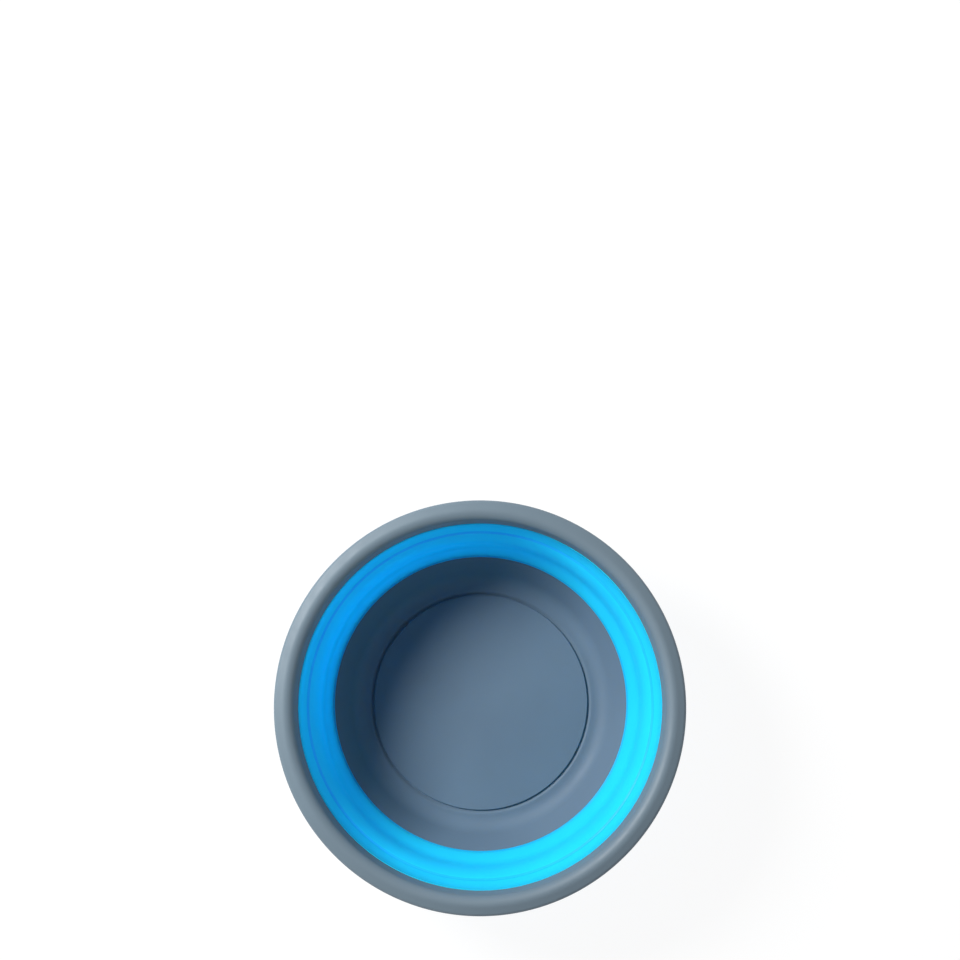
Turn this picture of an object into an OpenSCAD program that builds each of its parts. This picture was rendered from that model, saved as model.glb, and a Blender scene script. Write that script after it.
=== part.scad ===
// Round collapsible washing up bowl, drawn popped open.
// Three mouldings: a stiff grey rim, a soft blue fold band and a stiff grey base.
// The soft band is drawn as three solids, because its lip rides with the rim, its collar stays
// on the base, and the panel between them turns inside out when the bowl is pressed flat.
// Heights start at the table. The bowl stands on its foot ring.

/* [Rim] */
// Outer radius over the rim's lower edge
rim_outer_r = 185; // [170:1:210]
// Radial width from the band's top edge out to the rim's outer edge
rim_width = 20.3; // [19:0.1:26]
// Height from the band's top edge up to the top of the rim
rim_rise = 27; // [22:0.5:36]
// Radius of the rounded shoulder, from the skirt over the top to the outer fall
shoulder_r = 8; // [6:0.5:9.5]
// Tilt of the skirt away from upright, in degrees
skirt_lean = 4; // [3:0.5:9]
// Fall of the rim outwards from the shoulder, in degrees
top_fall = 17; // [6:1:22]
// Radius of the rim's outer top edge
edge_r = 3; // [2.8:0.1:5]
// Height of the rim from its top down to its lower edge
edge_drop = 16; // [12:0.5:22]
// Draft of the outer wall, in degrees
edge_draft = 1.5; // [0:0.5:3]
// Wall of the rim
rim_wall = 2.4; // [1.8:0.1:2.7]

/* [Fold band] */
// Height of the lip that hangs under the rim
lip_height = 20; // [14:0.5:26]
// Radial run of the lip
lip_run = 5; // [3:0.1:8]
// Hollow of the lip, away from the bowl's middle
lip_hollow = 1.2; // [0:0.1:1.5]
// Height of the fold panel, which is half of the fold's travel
panel_height = 41; // [36:0.5:43]
// Radial run of the fold panel
panel_run = 14.3; // [13:0.1:18]
// Wall of the fold panel
panel_wall = 1.8; // [1.4:0.1:2.4]
// Bow of the fold panel towards the bowl's middle
panel_bow = 3; // [0:0.1:3.2]
// Wall of the two thin hinge lines along the panel's edges
hinge_wall = 0.9; // [0.6:0.1:1.2]
// Height of each thin hinge line
hinge_height = 1.6; // [1:0.1:2.5]
// Height of the collar that sits on the base
collar_height = 11; // [9:0.5:15]
// Radial run of the collar
collar_run = 7.3; // [6:0.1:9]
// Height over which the lip and the collar thin down to the panel
taper_height = 5; // [3:0.5:5]
// How far the soft band stands proud of the stiff walls, on either side
band_proud = 0.6; // [0.3:0.1:1]

/* [Moulded joints] */
// Height of the stiff tongue that the soft band is moulded over
tongue_height = 3; // [2:0.5:5]
// Wall of the tongue
tongue_wall = 1.2; // [0.8:0.1:1.5]
// Bond line left beside the tongue and past its tip
bond_gap = 0.05; // [0.02:0.01:0.15]

/* [Base] */
// Depth of the base, from the collar's lower edge down to the raised floor
pan_depth = 26.3; // [24:0.1:34]
// Radius at which the flat floor ends
floor_r = 107; // [100:1:112]
// Radius of the curve from the floor up into the wall
pan_fillet_r = 24; // [12:1:27]
// Wall of the base
base_wall = 2.5; // [1.8:0.1:3]
// Radius of the raised middle of the floor
plateau_r = 102.8; // [60:0.1:103]
// Height of the raised middle of the floor
plateau_step = 1.2; // [0.4:0.1:2]
// Height of the foot ring
foot_height = 4; // [3:0.5:8]
// Mean radius of the foot ring
foot_r = 105.2; // [104.8:0.1:106]
// Width of the foot ring where it meets the floor
foot_width = 3; // [2:0.1:3.6]
// Draft of the foot ring on each side, in degrees
foot_draft = 4; // [0:1:8]

/* [Hidden] */
turn_steps = 180;
arc_steps = 10;
bow_steps = 12;
grey = [0.45, 0.52, 0.58];
blue = [0.04, 0.58, 0.96];

// Heights, from the table up
ring_z = foot_height + base_wall;
plateau_z = ring_z + plateau_step;
pan_edge_z = plateau_z + pan_depth;
low_hinge_z = pan_edge_z + collar_height;
top_hinge_z = low_hinge_z + panel_height;
lip_top_z = top_hinge_z + lip_height;
rim_top_z = lip_top_z + rim_rise;
edge_z = rim_top_z - edge_drop;

// Radii of the band's inner face, from the rim in
lip_top_r = rim_outer_r - rim_width;
top_hinge_r = lip_top_r - lip_run;
low_hinge_r = top_hinge_r - panel_run;
pan_edge_r = low_hinge_r - collar_run;

// Tilt of each leaning wall away from upright
lip_lean = atan2(lip_run, lip_height);
collar_lean = atan2(collar_run, collar_height);

// The soft walls close round the stiff ones with the same margin on both sides
lip_wall = rim_wall + 2 * band_proud;
collar_wall = base_wall + 2 * band_proud;

// A point on a leaning wall: rise is its height above the wall's start, out its depth into the wall.
// The depth is laid off level, so that every end of a wall is a flat ring.
function leaning(start, lean, rise, out) =
    [start.x + rise * tan(lean) + out / cos(lean), start.y + rise];
function lip_at(rise, out) =
    leaning([lip_top_r, lip_top_z], lip_lean, rise, out)
    - [4 * lip_hollow * rise / lip_height * (1 + rise / lip_height), 0];
function lip_face(from, to, out) =
    [for (i = [0:arc_steps]) lip_at(from + (to - from) * i / arc_steps, out)];
function collar_at(rise, out) = leaning([pan_edge_r, pan_edge_z], collar_lean, rise, out);

// A point on an arc about a centre
function on_arc(centre, radius, angle) = centre + radius * [cos(angle), sin(angle)];
function arc(centre, radius, from, to) =
    [for (i = [0:arc_steps]) on_arc(centre, radius, from + (to - from) * i / arc_steps)];

// The bowed panel: share runs from 0 at the lower hinge to 1 at the upper one
function panel_lean(share) = atan2(panel_run - 4 * panel_bow * (1 - 2 * share), panel_height);
function panel_at(share, out) = [
    low_hinge_r + share * panel_run - 4 * panel_bow * share * (1 - share) + out / cos(panel_lean(share)),
    low_hinge_z + share * panel_height
];
function panel_face(from, to, out) =
    [for (i = [0:bow_steps]) panel_at(from + (to - from) * i / bow_steps, out)];

// The tongue and the groove around it, as four corners on a leaning wall
tongue_in = -tongue_wall / 2;
tongue_out = tongue_wall / 2;

// Rim: the skirt's face runs up from the band into a round shoulder, which runs out into the fall
skirt_foot = lip_at(0, band_proud);
shoulder_z = rim_top_z - shoulder_r;
shoulder_c = [
    skirt_foot.x + (shoulder_r + (shoulder_z - lip_top_z) * sin(skirt_lean)) / cos(skirt_lean),
    shoulder_z
];
edge_c_r = rim_outer_r - edge_drop * tan(edge_draft) - edge_r;
edge_c = [
    edge_c_r,
    shoulder_z + (shoulder_r - edge_r - (edge_c_r - shoulder_c.x) * sin(top_fall)) / cos(top_fall)
];
edge_tip_r = rim_wall / 2;
edge_tip_c = [rim_outer_r - edge_tip_r, edge_z + edge_tip_r];

// Base: the wall leaves the floor's curve at the tilt that carries it to the collar
pan_top_in = collar_at(0, band_proud);
pan_top_out = collar_at(0, band_proud + base_wall);
pan_fillet = min(pan_fillet_r, pan_top_in.x - floor_r - base_wall);
pan_floor_angle = -90;
pan_curve_c = [floor_r, ring_z + pan_fillet];
pan_reach = pan_top_in - pan_curve_c;
pan_slope = atan2(pan_reach.y, pan_reach.x) + asin(pan_fillet / norm(pan_reach));
pan_wall_angle = pan_floor_angle + pan_slope;
recess_z = foot_height + plateau_step;
plateau_toe_r = plateau_r + plateau_step / 2;

// Stiff grey rim: skirt, round shoulder, outward fall and turned down outer wall, open underneath
module rim_ring() {
    color(grey)
        rotate_extrude($fn = turn_steps)
            polygon(concat(
                [skirt_foot],
                arc(shoulder_c, shoulder_r, 180 - skirt_lean, 90 - top_fall),
                arc(edge_c, edge_r, 90 - top_fall, edge_draft),
                arc(edge_tip_c, edge_tip_r, 0, -180),
                arc(edge_c, edge_r - rim_wall, edge_draft, 90 - top_fall),
                arc(shoulder_c, shoulder_r - rim_wall, 90 - top_fall, 180 - skirt_lean),
                [
                    skirt_foot + [rim_wall / cos(skirt_lean), 0],
                    lip_at(0, lip_wall / 2 + tongue_out),
                    lip_at(-tongue_height, lip_wall / 2 + tongue_out),
                    lip_at(-tongue_height, lip_wall / 2 + tongue_in),
                    lip_at(0, lip_wall / 2 + tongue_in)
                ]
            ));
}

// Soft lip: moulded over the rim's tongue, thins down to the upper hinge line
module band_lip() {
    color(blue)
        rotate_extrude($fn = turn_steps)
            polygon(concat(
                lip_face(-lip_height, 0, 0),
                [
                    lip_at(0, lip_wall / 2 + tongue_in - bond_gap),
                    lip_at(-tongue_height - bond_gap, lip_wall / 2 + tongue_in - bond_gap),
                    lip_at(-tongue_height - bond_gap, lip_wall / 2 + tongue_out + bond_gap),
                    lip_at(0, lip_wall / 2 + tongue_out + bond_gap)
                ],
                lip_face(0, taper_height - lip_height, lip_wall),
                [lip_at(-lip_height, panel_wall)]
            ));
}

// Soft fold panel: thin on its outside at the lower hinge line and on its inside at the upper one
module fold_panel() {
    thin = hinge_height / panel_height;
    color(blue)
        rotate_extrude($fn = turn_steps)
            polygon(concat(
                panel_face(0, 1 - 2 * thin, 0),
                [
                    panel_at(1 - thin, panel_wall - hinge_wall),
                    panel_at(1, panel_wall - hinge_wall)
                ],
                panel_face(1, 2 * thin, panel_wall),
                [
                    panel_at(thin, hinge_wall),
                    panel_at(0, hinge_wall)
                ]
            ));
}

// Soft collar: moulded over the base's tongue, thins up to the lower hinge line
module band_collar() {
    color(blue)
        rotate_extrude($fn = turn_steps)
            polygon([
                collar_at(0, 0),
                collar_at(collar_height, 0),
                collar_at(collar_height, panel_wall),
                collar_at(collar_height - taper_height, collar_wall),
                collar_at(0, collar_wall),
                collar_at(0, collar_wall / 2 + tongue_out + bond_gap),
                collar_at(tongue_height + bond_gap, collar_wall / 2 + tongue_out + bond_gap),
                collar_at(tongue_height + bond_gap, collar_wall / 2 + tongue_in - bond_gap),
                collar_at(0, collar_wall / 2 + tongue_in - bond_gap)
            ]);
}

// The base's profiles all run the same way round, so that they join into one face.
// Half width of the foot ring at a height, with its draft carried on up
function foot_half(z) = foot_width / 2 + (z - foot_height) * tan(foot_draft);

// Raised middle of the floor, from inside the wall up
module plateau_profile() {
    polygon([
        [0, recess_z],
        [plateau_toe_r, recess_z],
        [plateau_toe_r, ring_z],
        [plateau_r, plateau_z],
        [0, plateau_z]
    ]);
}

// Room inside the base
module pan_room_profile() {
    difference() {
        polygon(concat(
            [[0, ring_z]],
            arc(pan_curve_c, pan_fillet, pan_floor_angle, pan_wall_angle),
            [pan_top_in, [0, pan_edge_z]]
        ));
        plateau_profile();
    }
}

// Foot ring, carried up into whatever part of the base is above it
module foot_profile() {
    difference() {
        polygon([
            [foot_r - foot_half(0), 0],
            [foot_r + foot_half(0), 0],
            [foot_r + foot_half(pan_edge_z), pan_edge_z],
            [foot_r - foot_half(pan_edge_z), pan_edge_z]
        ]);
        pan_room_profile();
    }
}

// Wall of the base with its tongue, and the recess under the raised middle
module pan_wall_profile() {
    difference() {
        polygon(concat(
            [[0, foot_height]],
            arc(pan_curve_c, pan_fillet + base_wall, pan_floor_angle, pan_wall_angle),
            [
                pan_top_out,
                collar_at(0, collar_wall / 2 + tongue_out),
                collar_at(tongue_height, collar_wall / 2 + tongue_out),
                collar_at(tongue_height, collar_wall / 2 + tongue_in),
                collar_at(0, collar_wall / 2 + tongue_in),
                pan_top_in
            ],
            arc(pan_curve_c, pan_fillet, pan_wall_angle, pan_floor_angle),
            [[0, ring_z]]
        ));
        polygon([
            [0, foot_height],
            [plateau_r, foot_height],
            [plateau_r - plateau_step / 2, recess_z],
            [0, recess_z]
        ]);
    }
}

// Stiff grey base: raised floor, curved wall, tongue for the collar and foot ring
module base_pan() {
    color(grey)
        rotate_extrude($fn = turn_steps) {
            pan_wall_profile();
            plateau_profile();
            foot_profile();
        }
}

rim_ring();
band_lip();
fold_panel();
band_collar();
base_pan();
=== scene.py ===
import math

import bmesh
import bpy
from mathutils import Matrix, Vector


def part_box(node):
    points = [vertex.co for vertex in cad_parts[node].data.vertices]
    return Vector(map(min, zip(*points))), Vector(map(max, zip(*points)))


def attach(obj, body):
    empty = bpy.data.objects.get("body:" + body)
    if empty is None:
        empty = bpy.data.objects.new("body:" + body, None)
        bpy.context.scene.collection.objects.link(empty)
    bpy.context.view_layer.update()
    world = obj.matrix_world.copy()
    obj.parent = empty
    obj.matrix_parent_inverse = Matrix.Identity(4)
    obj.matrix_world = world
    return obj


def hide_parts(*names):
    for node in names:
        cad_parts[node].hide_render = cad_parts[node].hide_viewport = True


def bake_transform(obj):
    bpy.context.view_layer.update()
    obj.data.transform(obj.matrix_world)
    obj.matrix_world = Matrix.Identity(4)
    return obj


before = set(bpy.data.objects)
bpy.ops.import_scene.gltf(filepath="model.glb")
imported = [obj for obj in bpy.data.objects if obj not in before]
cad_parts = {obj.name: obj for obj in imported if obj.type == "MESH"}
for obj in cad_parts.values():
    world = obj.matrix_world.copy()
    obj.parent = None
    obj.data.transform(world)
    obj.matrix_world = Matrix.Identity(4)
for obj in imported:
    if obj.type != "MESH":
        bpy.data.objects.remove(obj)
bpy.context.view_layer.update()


# Base: a stiff pan of blue-grey polypropylene, moulded in one shot. The middle of its floor is
# raised inside a fine groove, with faint rings where two ejector pins were. A foot ring stands
# under its edge, and the soft band is moulded over a thin tongue round the top of the wall.
MM = 0.001
pan_edge_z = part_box("band_collar")[0].z
low_hinge_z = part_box("fold_panel")[0].z
tongue_top_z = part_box("base_pan")[1].z
foot_height = 4 * MM
base_wall = 2.5 * MM
pan_edge_r = 138.1 * MM
collar_lean = math.radians(33.57)
pan_slope = math.radians(54.85)
pan_fillet_r = 18 * MM
plateau_r = 102.8 * MM
plateau_step = 1.2 * MM
plateau_edge_run = 0.4 * MM
recess_edge_run = 0.6 * MM
groove_depth = 1.3 * MM
groove_floor_run = 0.9 * MM
groove_width = 3.6 * MM
groove_r = 4 * MM
foot_r = 105.2 * MM
foot_half_width = 1.5 * MM
foot_toe_half_width = 1.22 * MM
tongue_wall = 1.2 * MM
band_proud = 0.6 * MM
tongue_edge_r = 0.25 * MM
soft_edge_r = 0.5 * MM
crisp_edge_r = 0.3 * MM
pin_mark_r = 5.7 * MM
pin_mark_half_width = 0.3 * MM
pin_mark_height = 0.07 * MM
# The two ejector pins: how far each is from the bowl's axis, and its angle in degrees.
pin_places = ((50 * MM, 154), (89 * MM, 20))

PAN_STEPS = 288
ARC_STEP = math.radians(9)
FEWEST_ARC_STEPS = 3
ARC_LEAD = 0.15 * MM
MARK_STEPS = 96


def leaning(foot, lean, height, depth):
    """A point on a wall that leans out from its foot, at a height, this deep into the wall."""
    rise = height - foot[1]
    return (foot[0] + rise * math.tan(lean) + depth / math.cos(lean), height)


def soften(corners, closed):
    """Rounds the corners (r, z, radius) of an outline, with a point just before and after each."""
    points = []
    last = len(corners) - 1
    for number, (r, z, radius) in enumerate(corners):
        corner = Vector((r, z))
        at_end = not closed and number in (0, last)
        if radius == 0 or at_end:
            points.append(corner)
            continue
        back = (Vector(corners[number - 1][:2]) - corner).normalized()
        ahead = (Vector(corners[(number + 1) % len(corners)][:2]) - corner).normalized()
        half = back.angle(ahead) / 2
        reach = radius / math.tan(half)
        centre = corner + (back + ahead).normalized() * radius / math.sin(half)
        start = corner + back * reach - centre
        sweep = math.pi - 2 * half
        turn_way = 1 if back.cross(ahead) < 0 else -1
        steps = max(FEWEST_ARC_STEPS, math.ceil(sweep / ARC_STEP))
        points.append(corner + back * (reach + ARC_LEAD))
        for step in range(steps + 1):
            angle = turn_way * sweep * step / steps
            turned = Vector((
                start.x * math.cos(angle) - start.y * math.sin(angle),
                start.x * math.sin(angle) + start.y * math.cos(angle),
            ))
            points.append(centre + turned)
        points.append(corner + ahead * (reach + ARC_LEAD))
    return points


def lathe(name, section, closed, steps):
    """Turns an outline of (r, z) points round the axis into a mesh. An open one ends on the axis."""
    rings = section if closed else section[1:-1]
    verts = []
    for r, z in rings:
        for spoke in range(steps):
            angle = 2 * math.pi * spoke / steps
            verts.append((r * math.cos(angle), r * math.sin(angle), z))
    faces = []
    spans = len(rings) if closed else len(rings) - 1
    for ring in range(spans):
        near = ring * steps
        far = (ring + 1) % len(rings) * steps
        for spoke in range(steps):
            ahead = (spoke + 1) % steps
            faces.append((near + spoke, near + ahead, far + ahead, far + spoke))
    if not closed:
        top = len(verts)
        verts.append((0, 0, section[0][1]))
        bottom = len(verts)
        verts.append((0, 0, section[-1][1]))
        last_ring = (len(rings) - 1) * steps
        for spoke in range(steps):
            ahead = (spoke + 1) % steps
            faces.append((top, ahead, spoke))
            faces.append((bottom, last_ring + spoke, last_ring + ahead))
    mesh = bpy.data.meshes.new(name)
    mesh.from_pydata(verts, [], faces)
    mesh.shade_smooth()
    mesh.update()
    return mesh


def add_object(name, data):
    """Puts a mesh, a lamp or a camera in the scene as an object."""
    added = bpy.data.objects.new(name, data)
    bpy.context.scene.collection.objects.link(added)
    return added


pan_edge = (pan_edge_r, pan_edge_z)
pan_face = leaning(pan_edge, collar_lean, pan_edge_z, band_proud)
pan_back = leaning(pan_edge, collar_lean, pan_edge_z, band_proud + base_wall)
ring_z = foot_height + base_wall
plateau_z = ring_z + plateau_step
recess_z = foot_height + plateau_step
wall_foot_r = pan_face[0] - (pan_edge_z - ring_z) / math.tan(pan_slope)
wall_back_foot_r = pan_back[0] - (pan_edge_z - foot_height) / math.tan(pan_slope)
collar_wall = base_wall + 2 * band_proud
tongue_inner = collar_wall / 2 - tongue_wall / 2
tongue_outer = collar_wall / 2 + tongue_wall / 2

pan_corners = [
    (0, plateau_z, 0),
    (plateau_r, plateau_z, crisp_edge_r),
    (plateau_r + plateau_edge_run, ring_z - groove_depth, crisp_edge_r),
    (plateau_r + plateau_edge_run + groove_floor_run, ring_z - groove_depth, crisp_edge_r),
    (plateau_r + groove_width, ring_z, groove_r),
    (wall_foot_r, ring_z, pan_fillet_r),
    (*pan_face, crisp_edge_r),
    (*leaning(pan_edge, collar_lean, pan_edge_z, tongue_inner), 0),
    (*leaning(pan_edge, collar_lean, tongue_top_z, tongue_inner), tongue_edge_r),
    (*leaning(pan_edge, collar_lean, tongue_top_z, tongue_outer), tongue_edge_r),
    (*leaning(pan_edge, collar_lean, pan_edge_z, tongue_outer), 0),
    (*pan_back, crisp_edge_r),
    (wall_back_foot_r, foot_height, pan_fillet_r + base_wall),
    (foot_r + foot_half_width, foot_height, 0),
    (foot_r + foot_toe_half_width, 0, soft_edge_r),
    (foot_r - foot_toe_half_width, 0, soft_edge_r),
    (foot_r - foot_half_width, foot_height, 0),
    (plateau_r, foot_height, 0),
    (plateau_r - recess_edge_run, recess_z, crisp_edge_r),
    (0, recess_z, 0),
]
pan_mesh = lathe("pan", soften(pan_corners, closed=False), closed=False, steps=PAN_STEPS)
pin_mark_section = [
    (pin_mark_r - pin_mark_half_width, plateau_z - pin_mark_height),
    (pin_mark_r, plateau_z + pin_mark_height),
    (pin_mark_r + pin_mark_half_width, plateau_z - pin_mark_height),
]
marked_pan = bmesh.new()
marked_pan.from_mesh(pan_mesh)
for pin_distance, pin_angle in pin_places:
    turn = math.radians(pin_angle)
    pin_place = (pin_distance * math.cos(turn), pin_distance * math.sin(turn), 0)
    mark = lathe("pin_mark", pin_mark_section, closed=True, steps=MARK_STEPS)
    mark.transform(Matrix.Translation(pin_place))
    marked_pan.from_mesh(mark)
    bpy.data.meshes.remove(mark)
marked_pan.to_mesh(pan_mesh)
marked_pan.free()
pan = add_object("pan", pan_mesh)

noise_range = (0.3, 0.7)
cloud_detail = 3
wander_detail = 4
wander_fineness = 5
grain_detail = 2


def add_noise(nodes, links, place, scale, detail):
    """The value of a noise texture over the piece's own space."""
    noise = nodes.new("ShaderNodeTexNoise")
    noise.inputs["Scale"].default_value = scale
    noise.inputs["Detail"].default_value = detail
    links.new(place.outputs["Object"], noise.inputs["Vector"])
    return noise.outputs["Fac"]


def map_range(nodes, links, value, before, after):
    """A value mapped from one range, its lowest and highest, on to another."""
    span = nodes.new("ShaderNodeMapRange")
    span.inputs["From Min"].default_value = before[0]
    span.inputs["From Max"].default_value = before[1]
    span.inputs["To Min"].default_value = after[0]
    span.inputs["To Max"].default_value = after[1]
    links.new(value, span.inputs["Value"])
    return span.outputs["Result"]


def moulded_plastic(name, colour, deep_colour, gloss, shine, cloud_scale, grain_scale, grain_depth):
    """A moulded plastic: faint clouds in its colour, gloss that wanders a little and a fine grain."""
    material = bpy.data.materials.new(name)
    material.use_nodes = True
    nodes = material.node_tree.nodes
    links = material.node_tree.links
    shader = nodes["Principled BSDF"]
    shader.inputs["Specular IOR Level"].default_value = shine
    place = nodes.new("ShaderNodeTexCoord")
    clouds = add_noise(nodes, links, place, cloud_scale, cloud_detail)
    deep_share = map_range(nodes, links, clouds, noise_range, (0, 1))
    tint = nodes.new("ShaderNodeMix")
    tint.data_type = "RGBA"
    tint.inputs["A"].default_value = (*colour, 1)
    tint.inputs["B"].default_value = (*deep_colour, 1)
    links.new(deep_share, tint.inputs["Factor"])
    links.new(tint.outputs["Result"], shader.inputs["Base Color"])
    wander = add_noise(nodes, links, place, cloud_scale * wander_fineness, wander_detail)
    roughness = map_range(nodes, links, wander, noise_range, gloss)
    links.new(roughness, shader.inputs["Roughness"])
    grain = add_noise(nodes, links, place, grain_scale, grain_detail)
    bump = nodes.new("ShaderNodeBump")
    bump.inputs["Distance"].default_value = grain_depth
    links.new(grain, bump.inputs["Height"])
    links.new(bump.outputs["Normal"], shader.inputs["Normal"])
    return material


grey_texture = {"cloud_scale": 14, "grain_scale": 2400, "grain_depth": 0.004 * MM}
pan_plastic = moulded_plastic(
    "grey polypropylene",
    colour=(0.124, 0.181, 0.241),
    deep_colour=(0.115, 0.168, 0.226),
    gloss=(0.50, 0.60),
    shine=0.24,
    **grey_texture,
)
pan_mesh.materials.append(pan_plastic)
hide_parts("base_pan")
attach(pan, "base")


# Fold band: bright blue thermoplastic elastomer, moulded over the tongues of the base and the
# rim in the second shot. Collar, fold panel and lip are one skin, thinned from outside above
# the collar and by a crease inside below the lip, with a fine bead round the lower edge.
top_hinge_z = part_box("band_lip")[0].z
lip_top_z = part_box("band_lip")[1].z
rim_tongue_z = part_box("rim_ring")[0].z
lip_top_r = 164.7 * MM
top_hinge_r = 159.7 * MM
low_hinge_r = 145.4 * MM
lip_lean = math.radians(14.04)
rim_wall = 2.4 * MM
panel_wall = 1.8 * MM
lip_hollow = 1.2 * MM
hinge_wall = 0.9 * MM
hinge_height = 1.6 * MM
taper_height = 5 * MM
bond_gap = 0.05 * MM
crease_depth = 0.7 * MM
crease_half_height = 0.4 * MM
crease_reach = 1.3 * MM
bead_height = 1.7 * MM
bead_groove_height = 0.8 * MM
bead_groove_depth = 0.6 * MM
bead_edge_r = 0.5 * MM
panel_steep_share = 0.34
panel_top_run = 0.85
lip_edge_r = 0.4 * MM

BAND_STEPS = 288
PANEL_STEPS = 24
LIP_STEPS = 12

lip_edge = (lip_top_r, lip_top_z)
lip_wall = rim_wall + 2 * band_proud
lip_height = lip_top_z - top_hinge_z
lip_tongue_inner = lip_wall / 2 - tongue_wall / 2
lip_tongue_outer = lip_wall / 2 + tongue_wall / 2

# The panel leaves the collar in line with it and is steepest at a share of its height. Its run
# outwards for each unit of height grows as a parabola to both sides of that point, and the
# least run is the one that brings the panel's top to the upper hinge.
panel_height = top_hinge_z - low_hinge_z
panel_mean_run = (top_hinge_r - low_hinge_r) / panel_height
panel_foot_run = math.tan(collar_lean)
panel_ends_run = panel_steep_share * panel_foot_run + (1 - panel_steep_share) * panel_top_run
panel_steep_run = (3 * panel_mean_run - panel_ends_run) / 2


def collar(height, depth):
    """A point on the collar of the band."""
    return leaning(pan_edge, collar_lean, height, depth)


def panel(height, depth):
    """A point on the S of the fold panel."""
    share = (height - low_hinge_z) / panel_height
    below = share < panel_steep_share
    reach = panel_steep_share if below else 1 - panel_steep_share
    more_run = (panel_foot_run if below else panel_top_run) - panel_steep_run
    off = (share - panel_steep_share) / reach
    run = panel_steep_share * (2 * panel_steep_run + panel_foot_run) / 3
    run += reach * (panel_steep_run * off + more_run * off ** 3 / 3)
    wall_run = panel_steep_run + more_run * off ** 2
    return (low_hinge_r + panel_height * run + depth * math.hypot(1, wall_run), height)


def lip(height, depth):
    """A point on the lip of the band, which is hollow half way up."""
    share = (lip_top_z - height) / lip_height
    hollow = 4 * lip_hollow * share * (1 - share)
    r, z = leaning(lip_edge, lip_lean, height, depth)
    return (r + hollow, z)


def face_between(zone, from_z, to_z, depth, steps):
    """One face of the panel or the lip as a chain of points, without rounding."""
    heights = [from_z + (to_z - from_z) * step / steps for step in range(steps + 1)]
    return [(*zone(height, depth), 0) for height in heights]


crease_z = top_hinge_z - crease_reach
bead_top_z = pan_edge_z + bead_height
hinge_top_z = low_hinge_z + hinge_height
band_corners = [
    (*lip(lip_top_z, 0), lip_edge_r),
    *face_between(lip, lip_top_z - 2 * lip_edge_r, top_hinge_z + crease_reach, 0, LIP_STEPS),
    (*lip(top_hinge_z, 0), crisp_edge_r),
    (*panel(crease_z + crease_half_height, crease_depth), crisp_edge_r),
    (*panel(crease_z - crease_half_height, crease_depth), crisp_edge_r),
    *face_between(panel, crease_z - crease_reach, low_hinge_z, 0, PANEL_STEPS),
    (*collar(bead_top_z + bead_groove_height, 0), bead_edge_r),
    (*collar(bead_top_z + bead_groove_height / 2, bead_groove_depth), 0),
    (*collar(bead_top_z, 0), bead_edge_r),
    (*collar(pan_edge_z, 0), lip_edge_r),
    (*collar(pan_edge_z, tongue_inner - bond_gap), 0),
    (*collar(tongue_top_z + bond_gap, tongue_inner - bond_gap), 0),
    (*collar(tongue_top_z + bond_gap, tongue_outer + bond_gap), 0),
    (*collar(pan_edge_z, tongue_outer + bond_gap), 0),
    (*collar(pan_edge_z, collar_wall), lip_edge_r),
    (*collar(low_hinge_z - taper_height, collar_wall), soft_edge_r),
    (*collar(low_hinge_z, panel_wall), crisp_edge_r),
    (*panel(low_hinge_z + hinge_height / 2, hinge_wall), crisp_edge_r),
    (*panel(hinge_top_z, hinge_wall), crisp_edge_r),
    *face_between(panel, hinge_top_z + hinge_height, top_hinge_z, panel_wall, PANEL_STEPS),
    (*lip(top_hinge_z + taper_height, lip_wall), soft_edge_r),
    *face_between(
        lip, top_hinge_z + 2 * taper_height, lip_top_z - 2 * lip_edge_r, lip_wall, LIP_STEPS
    ),
    (*lip(lip_top_z, lip_wall), lip_edge_r),
    (*lip(lip_top_z, lip_tongue_outer + bond_gap), 0),
    (*lip(rim_tongue_z - bond_gap, lip_tongue_outer + bond_gap), 0),
    (*lip(rim_tongue_z - bond_gap, lip_tongue_inner - bond_gap), 0),
    (*lip(lip_top_z, lip_tongue_inner - bond_gap), 0),
]
band_mesh = lathe("fold_band", soften(band_corners, closed=True), closed=True, steps=BAND_STEPS)
band = add_object("fold_band", band_mesh)

through_share = 0.5


def mix_shaders(nodes, links, first, second):
    """A mix of two shaders, whose share is still to be set."""
    mix = nodes.new("ShaderNodeMixShader")
    links.new(first, mix.inputs[1])
    links.new(second, mix.inputs[2])
    return mix


def soft_blue(name, colour, deep_colour, light_colour):
    """The elastomer: part of the light comes back from its skin, and a share comes through it."""
    material = moulded_plastic(
        name,
        colour,
        deep_colour,
        gloss=(0.34, 0.44),
        shine=0.26,
        cloud_scale=16,
        grain_scale=1600,
        grain_depth=0.006 * MM,
    )
    nodes = material.node_tree.nodes
    links = material.node_tree.links
    through = nodes.new("ShaderNodeBsdfTranslucent")
    through.inputs["Color"].default_value = (*light_colour, 1)
    skin = nodes["Principled BSDF"]
    both_ways = mix_shaders(nodes, links, skin.outputs["BSDF"], through.outputs["BSDF"])
    both_ways.inputs["Fac"].default_value = through_share
    links.new(both_ways.outputs["Shader"], nodes["Material Output"].inputs["Surface"])
    return material


blue_skin = soft_blue(
    "blue elastomer",
    colour=(0.032, 0.98, 1),
    deep_colour=(0.029, 0.93, 1),
    light_colour=(0, 0.55, 1),
)
# Painted shade: the same elastomer in a deeper blue, laid on the crease and the bead so that they
# read darker.
blue_painted_crease_shade = soft_blue(
    "blue elastomer painted crease shade",
    colour=(0.024, 0.80, 1),
    deep_colour=(0.022, 0.76, 1),
    light_colour=(0, 0.42, 1),
)
band_mesh.materials.append(blue_skin)
band_mesh.materials.append(blue_painted_crease_shade)
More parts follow.
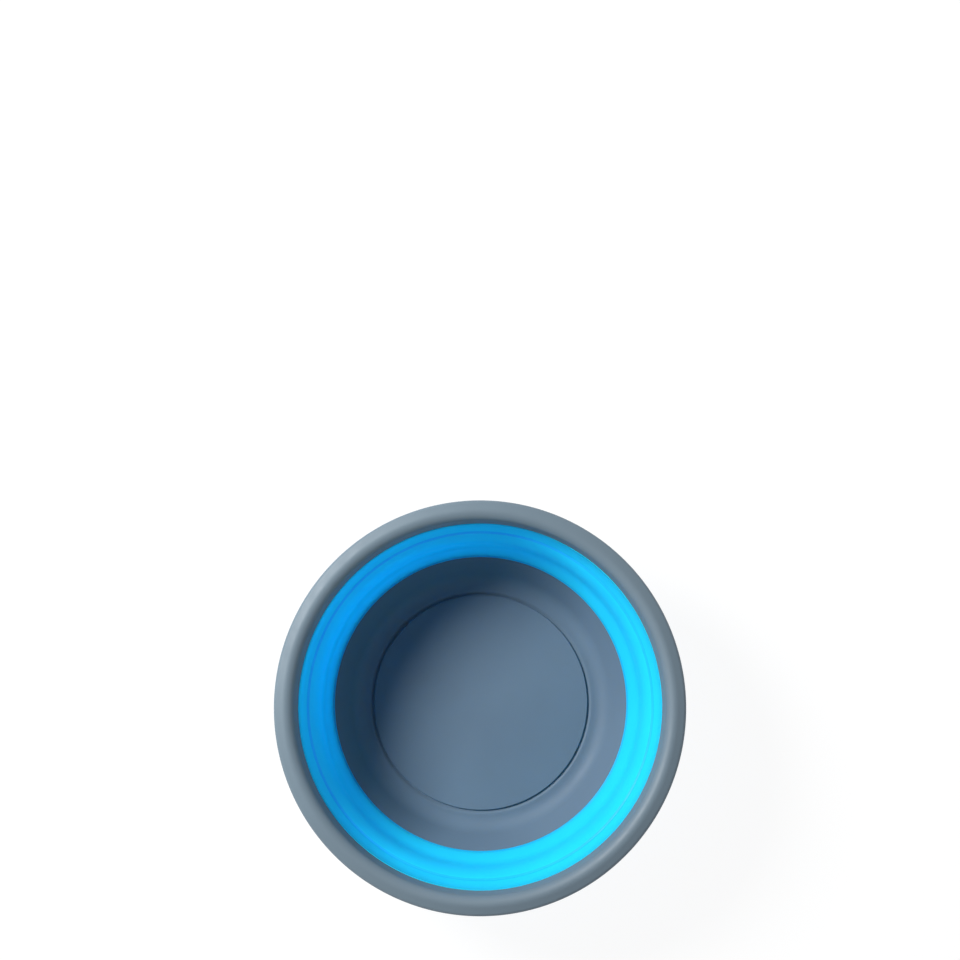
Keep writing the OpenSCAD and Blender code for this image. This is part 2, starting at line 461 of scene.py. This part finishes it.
# The crease and the bead, seen from inside the bowl, get the second material, whose deeper blue is
# painted shade in the crease and along the bead's groove.
inside_crease_r = panel(crease_z, panel_wall / 2)[0]
inside_bead_r = collar(bead_top_z, tongue_inner)[0]
for face in band_mesh.polygons:
    face_r = math.hypot(face.center.x, face.center.y)
    in_crease = face_r < inside_crease_r and abs(face.center.z - crease_z) < crease_reach
    in_bead = face_r < inside_bead_r and face.center.z < bead_top_z + bead_groove_height
    if in_crease or in_bead:
        face.material_index = 1
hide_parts("band_collar", "fold_panel", "band_lip")
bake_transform(band)


# Rim: the same blue-grey polypropylene as the base, painted a shade lighter and warmer for the light
# that falls on its top, and a little glossier. One wall goes up from the band over a round shoulder,
# falls gently outwards and turns down into a smooth outer edge. It is open underneath, for fingers,
# and its tongue is inside the band.
rim_top_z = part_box("rim_ring")[1].z
rim_outer_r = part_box("rim_ring")[1].x
edge_drop = 16 * MM
edge_draft = math.radians(1.5)
skirt_lean = math.radians(4)
top_fall = math.radians(17)
shoulder_r = 8 * MM
edge_r = 4 * MM
rim_tip_r = 1 * MM

RIM_STEPS = 360

rim_foot = lip(lip_top_z, band_proud)
edge_z = rim_top_z - edge_drop


def meet(first, first_angle, second, second_angle):
    """Where two lines cross, each given by a point and its angle above level."""
    run = second[0] - first[0]
    rise = second[1] - first[1]
    ahead = math.sin(second_angle - first_angle)
    along = (run * math.sin(second_angle) - rise * math.cos(second_angle)) / ahead
    return (
        first[0] + along * math.cos(first_angle),
        first[1] + along * math.sin(first_angle),
    )


def wall_under(path, wall):
    """The inner side of a bent wall, from (r, z, radius) corners along its outer side."""
    lines = []
    for (r0, z0, _), (r1, z1, _) in zip(path, path[1:]):
        angle = math.atan2(z1 - z0, r1 - r0)
        side = (r0 + wall * math.sin(angle), z0 - wall * math.cos(angle))
        lines.append((side, angle))
    start = meet(*lines[0], (0, path[0][1]), 0)
    finish = meet(*lines[-1], (0, path[-1][1]), 0)
    inner = [(*start, crisp_edge_r)]
    for before, after, corner in zip(lines, lines[1:], path[1:]):
        inner.append((*meet(*before, *after), max(corner[2] - wall, crisp_edge_r)))
    inner.append((*finish, rim_tip_r))
    return inner


shoulder_z = rim_top_z - shoulder_r
skirt_run = (shoulder_z - lip_top_z) * math.sin(skirt_lean)
shoulder_centre_r = rim_foot[0] + (shoulder_r + skirt_run) / math.cos(skirt_lean)
fall_start = (
    shoulder_centre_r + shoulder_r * math.sin(top_fall),
    shoulder_z + shoulder_r * math.cos(top_fall),
)
outer_wall_angle = math.pi / 2 + edge_draft
rim_path = [
    (*rim_foot, crisp_edge_r),
    (*meet(rim_foot, math.pi / 2 - skirt_lean, fall_start, -top_fall), shoulder_r),
    (*meet(fall_start, -top_fall, (rim_outer_r, edge_z), outer_wall_angle), edge_r),
    (rim_outer_r, edge_z, rim_tip_r),
]
rim_corners = [
    *rim_path,
    *reversed(wall_under(rim_path, rim_wall)),
    (*lip(lip_top_z, lip_tongue_outer), 0),
    (*lip(rim_tongue_z, lip_tongue_outer), tongue_edge_r),
    (*lip(rim_tongue_z, lip_tongue_inner), tongue_edge_r),
    (*lip(lip_top_z, lip_tongue_inner), 0),
]
rim_mesh = lathe("rim", soften(rim_corners, closed=True), closed=True, steps=RIM_STEPS)
rim = add_object("rim", rim_mesh)
# Painted light: the rim's colour is the base's plastic made a shade lighter and warmer, for the light
# on its top.
rim_plastic_painted_lighter = moulded_plastic(
    "grey polypropylene rim painted lighter",
    colour=(0.135, 0.187, 0.228),
    deep_colour=(0.126, 0.175, 0.214),
    gloss=(0.48, 0.58),
    shine=0.42,
    **grey_texture,
)
rim_mesh.materials.append(rim_plastic_painted_lighter)
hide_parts("rim_ring")
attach(rim, "rim")


# Table: a plain white sweep of card under the bowl, 12 m square. It lights the bowl as white
# card does, and shows to the camera as plain white with the bowl's soft shadow in it.
table_half = 6
table_white = 0.8
seen_white = 0.09
seen_glow = 0.93


def seen_directly(nodes, links):
    """1 for rays from the camera, from gloss and through glass, otherwise 0."""
    path = nodes.new("ShaderNodeLightPath")
    total = path.outputs["Is Camera Ray"]
    for kind in ("Is Glossy Ray", "Is Transmission Ray"):
        largest = nodes.new("ShaderNodeMath")
        largest.operation = "MAXIMUM"
        links.new(total, largest.inputs[0])
        links.new(path.outputs[kind], largest.inputs[1])
        total = largest.outputs["Value"]
    return total


def shown_apart(nodes, links, lighting, shown):
    """One shader for the light that reaches the bowl, another for what is seen directly."""
    choice = mix_shaders(nodes, links, lighting, shown)
    links.new(seen_directly(nodes, links), choice.inputs["Fac"])
    return choice.outputs["Shader"]


table_mesh = bpy.data.meshes.new("table")
table_mesh.from_pydata(
    [
        (-table_half, -table_half, 0),
        (table_half, -table_half, 0),
        (table_half, table_half, 0),
        (-table_half, table_half, 0),
    ],
    [],
    [(0, 1, 2, 3)],
)
table = add_object("table", table_mesh)
white_sweep = bpy.data.materials.new("white sweep")
white_sweep.use_nodes = True
sweep_nodes = white_sweep.node_tree.nodes
sweep_links = white_sweep.node_tree.links
sweep_nodes.clear()
plain = sweep_nodes.new("ShaderNodeBsdfDiffuse")
plain.inputs["Color"].default_value = (table_white, table_white, table_white, 1)
seen = sweep_nodes.new("ShaderNodeBsdfDiffuse")
seen.inputs["Color"].default_value = (seen_white, seen_white, seen_white, 1)
glow = sweep_nodes.new("ShaderNodeEmission")
glow.inputs["Strength"].default_value = seen_glow
lit = sweep_nodes.new("ShaderNodeAddShader")
sweep_links.new(seen.outputs["BSDF"], lit.inputs[0])
sweep_links.new(glow.outputs["Emission"], lit.inputs[1])
sweep = shown_apart(sweep_nodes, sweep_links, plain.outputs["BSDF"], lit.outputs["Shader"])
sweep_out = sweep_nodes.new("ShaderNodeOutputMaterial")
sweep_links.new(sweep, sweep_out.inputs["Surface"])
table_mesh.materials.append(white_sweep)


# Light: one wide soft lamp from the back left, half way up, and the pale walls of a light
# tent all round, which reach the rim and the soft band but not the deep floor. The tent is
# brighter on the side away from the lamp, and nearly dark overhead.
key_distance = 2.2
key_width = 0.82
key_power = 64
key_azimuth = math.radians(147)
key_elevation = math.radians(44)
tent_colour = (0.93, 0.96, 1, 1)
tent_walls = 1.15
tent_top = 0.02
tent_walls_end = math.sin(math.radians(17))
tent_top_start = math.sin(math.radians(37))
tent_near_key = 0.82
tent_away = 1.2
backdrop_colour = (1, 1, 1, 1)

key_aim = Vector((0, 0, pan_edge_z))
key_way = Vector((
    math.cos(key_azimuth) * math.cos(key_elevation),
    math.sin(key_azimuth) * math.cos(key_elevation),
    math.sin(key_elevation),
))
key_lamp = bpy.data.lights.new("key lamp", "AREA")
key_lamp.shape = "DISK"
key_lamp.size = key_width
key_lamp.energy = key_power
key_light = add_object("key lamp", key_lamp)
key_light.location = key_aim + key_way * key_distance
key_light.rotation_euler = key_way.to_track_quat("Z", "Y").to_euler()

studio = bpy.data.worlds.new("studio")
bpy.context.scene.world = studio
studio.use_nodes = True
studio_nodes = studio.node_tree.nodes
studio_links = studio.node_tree.links
studio_nodes.clear()
way_out = studio_nodes.new("ShaderNodeTexCoord")
way_parts = studio_nodes.new("ShaderNodeSeparateXYZ")
towards_key = studio_nodes.new("ShaderNodeVectorMath")
towards_key.operation = "DOT_PRODUCT"
towards_key.inputs[1].default_value = (math.cos(key_azimuth), math.sin(key_azimuth), 0)
studio_links.new(way_out.outputs["Generated"], way_parts.inputs["Vector"])
studio_links.new(way_out.outputs["Generated"], towards_key.inputs[0])
level_at_height = map_range(
    studio_nodes,
    studio_links,
    way_parts.outputs["Z"],
    before=(tent_walls_end, tent_top_start),
    after=(tent_walls, tent_top),
)
level_at_side = map_range(
    studio_nodes,
    studio_links,
    towards_key.outputs["Value"],
    before=(-1, 1),
    after=(tent_away, tent_near_key),
)
level = studio_nodes.new("ShaderNodeMath")
level.operation = "MULTIPLY"
studio_links.new(level_at_height, level.inputs[0])
studio_links.new(level_at_side, level.inputs[1])
tent = studio_nodes.new("ShaderNodeBackground")
tent.inputs["Color"].default_value = tent_colour
studio_links.new(level.outputs["Value"], tent.inputs["Strength"])
backdrop = studio_nodes.new("ShaderNodeBackground")
backdrop.inputs["Color"].default_value = backdrop_colour
surround = shown_apart(
    studio_nodes, studio_links, tent.outputs["Background"], backdrop.outputs["Background"]
)
studio_out = studio_nodes.new("ShaderNodeOutputWorld")
studio_links.new(surround, studio_out.inputs["Surface"])


# Camera: above the table, 1.65 m up. In the photograph the open bowl stands in the lower
# half of the frame, so the camera leans back about 6 degrees.
camera_place = (0.0103, 0.047, 1.650)
camera_tilt = math.radians(5.859)
camera_pan = math.radians(0.383)
camera_lens = 63.21
camera_sensor = 36

lens = bpy.data.cameras.new("camera")
lens.sensor_width = camera_sensor
lens.lens = camera_lens
camera = add_object("camera", lens)
camera.location = camera_place
camera.rotation_euler = (camera_tilt, camera_pan, 0)
bpy.context.scene.camera = camera
bpy.context.scene.view_settings.view_transform = "Standard"
